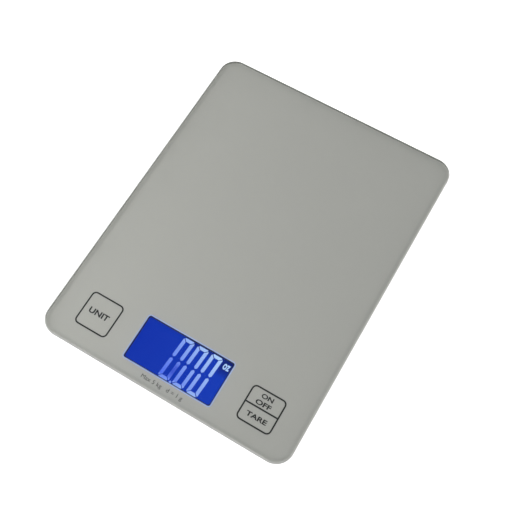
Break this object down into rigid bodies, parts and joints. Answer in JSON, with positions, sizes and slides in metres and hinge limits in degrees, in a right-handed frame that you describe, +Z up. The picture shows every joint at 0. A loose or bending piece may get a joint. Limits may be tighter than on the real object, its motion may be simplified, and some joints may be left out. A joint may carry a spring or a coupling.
{
  "type": "kitchen scale",
  "caption": "Slim digital kitchen scale: glass platform with a backlit display and touch keys, on a shallow base with load cell feet and a battery door.",
  "frame": {"origin": "middle of the footprint, on the surface that the feet stand on", "axes": "+X right, +Y towards the back, +Z up; the display and keys are at the front, at -Y"},
  "size_m": [0.176, 0.23, 0.0213],
  "materials": {
    "platform_glass": "clear tempered float glass, ground and polished edge",
    "silver_print": "silver-grey lacquer printed on the back of the glass",
    "foam_tape": "black double-sided foam tape",
    "carrier_plastic": "light grey moulded ABS, fine texture",
    "cover_plastic": "light grey moulded ABS, spark-eroded texture",
    "door_plastic": "light grey moulded ABS, spark-eroded texture",
    "steel_screw": "zinc plated steel",
    "cell_steel": "stamped nickel plated spring steel",
    "gauge_foil": "amber polyimide strain gauge foil",
    "sealant": "white silicone sealant",
    "retainer_plastic": "black moulded plastic",
    "foot_plastic": "dark grey moulded plastic",
    "foot_rubber": "black soft rubber",
    "board_green": "green solder mask on glass fibre board",
    "chip_black": "black epoxy package",
    "component_mix": "ceramic and plastic components",
    "solder": "bright solder",
    "lcd_glass": "blue negative liquid crystal display, lit from behind",
    "lcd_holder": "white moulded plastic",
    "light_guide": "clear acrylic light guide, lit blue-white",
    "reflector": "white reflector film",
    "led": "white light emitting diodes",
    "contact_rubber": "layered conductive rubber strip",
    "spring_steel": "plated spring wire",
    "nickel_contact": "nickel plated contact strip",
    "battery_sleeve": "printed dark sleeve with a bare metal end",
    "wire_red": "red PVC insulation",
    "wire_white": "white PVC insulation",
    "wire_black": "black PVC insulation"
  },
  "bodies": {
    "housing": {"glass_platform": "platform_glass", "back_print": "silver_print", "glass_tape": "foam_tape", "carrier_frame": "carrier_plastic", "bottom_cover": "cover_plastic", "cover_screws": "steel_screw", "strain_gauges": "gauge_foil", "gauge_sealant": "sealant", "cell_retainers": "retainer_plastic", "retainer_screws": "steel_screw", "cell_wires_red": "wire_red", "cell_wires_white": "wire_white", "cell_wires_black": "wire_black", "main_board": "board_green", "controller_chip": "chip_black", "board_components": "component_mix", "solder_joints": "solder", "board_screws": "steel_screw", "lcd_panel": "lcd_glass", "lcd_frame": "lcd_holder", "backlight_guide": "light_guide", "backlight_reflector": "reflector", "backlight_leds": "led", "lcd_connector": "contact_rubber", "touch_spring_unit": "spring_steel", "touch_spring_power": "spring_steel", "touch_spring_tare": "spring_steel", "battery_front": "battery_sleeve", "battery_rear": "battery_sleeve", "battery_terminals": "nickel_contact", "battery_bridge": "nickel_contact", "battery_springs": "spring_steel", "battery_lead_red": "wire_red", "battery_lead_black": "wire_black", "load_cell_front_left": "cell_steel", "load_cell_front_right": "cell_steel", "load_cell_back_left": "cell_steel", "load_cell_back_right": "cell_steel"},
    "foot_front_left": {"foot_stem_front_left": "foot_plastic", "foot_pad_front_left": "foot_rubber"},
    "foot_front_right": {"foot_stem_front_right": "foot_plastic", "foot_pad_front_right": "foot_rubber"},
    "foot_back_left": {"foot_stem_back_left": "foot_plastic", "foot_pad_back_left": "foot_rubber"},
    "foot_back_right": {"foot_stem_back_right": "foot_plastic", "foot_pad_back_right": "foot_rubber"},
    "battery_door": {"battery_door": "door_plastic", "door_latch": "door_plastic"}
  },
  "joints": [
    {"name": "foot_press_front_left", "type": "slide", "parent": "housing", "child": "foot_front_left", "axis": [0, 0, 1], "range_m": [0, 0.0004], "stiffness_N_per_m": 40000, "deforming": ["load_cell_front_left"]},
    {"name": "foot_press_front_right", "type": "slide", "parent": "housing", "child": "foot_front_right", "axis": [0, 0, 1], "range_m": [0, 0.0004], "stiffness_N_per_m": 40000, "deforming": ["load_cell_front_right"]},
    {"name": "foot_press_back_left", "type": "slide", "parent": "housing", "child": "foot_back_left", "axis": [0, 0, 1], "range_m": [0, 0.0004], "stiffness_N_per_m": 40000, "deforming": ["load_cell_back_left"]},
    {"name": "foot_press_back_right", "type": "slide", "parent": "housing", "child": "foot_back_right", "axis": [0, 0, 1], "range_m": [0, 0.0004], "stiffness_N_per_m": 40000, "deforming": ["load_cell_back_right"]},
    {"name": "battery_door_hinge", "type": "hinge", "parent": "housing", "child": "battery_door", "pos_m": [0, -0.0225, 0.0032], "axis": [1, 0, 0], "range_deg": [0, 80], "deforming": ["door_latch"]}
  ]
}
